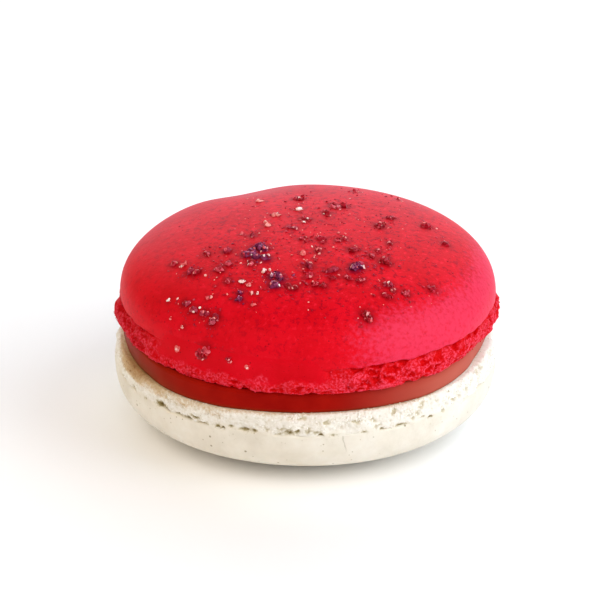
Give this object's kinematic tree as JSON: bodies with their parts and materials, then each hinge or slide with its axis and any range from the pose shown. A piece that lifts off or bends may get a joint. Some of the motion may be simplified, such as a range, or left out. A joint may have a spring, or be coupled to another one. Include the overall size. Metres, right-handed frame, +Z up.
{
  "type": "french macaron",
  "caption": "Round macaron: a smooth red domed meringue shell with sugar sprinkles and a cream shell, each with a crumbly foot, around a disc of brown ganache.",
  "frame": {"origin": "centre of the flat spot of the cream shell that it rests on", "axes": "+Z up through the stacked layers, -Y towards the side that the camera sees, +X to its right"},
  "size_m": [0.0481, 0.0481, 0.0255],
  "materials": {
    "cream_meringue": "baked almond meringue, satin skin and crumbly foot",
    "ganache": "smooth chocolate and berry ganache, softly glossy",
    "red_meringue": "baked red almond meringue, satin skin and crumbly foot",
    "candied_petals": "crushed candied violet and sugar crystals"
  },
  "bodies": {
    "root": {"cream_shell": "cream_meringue", "ganache_filling": "ganache", "red_shell": "red_meringue"}
  },
  "joints": []
}
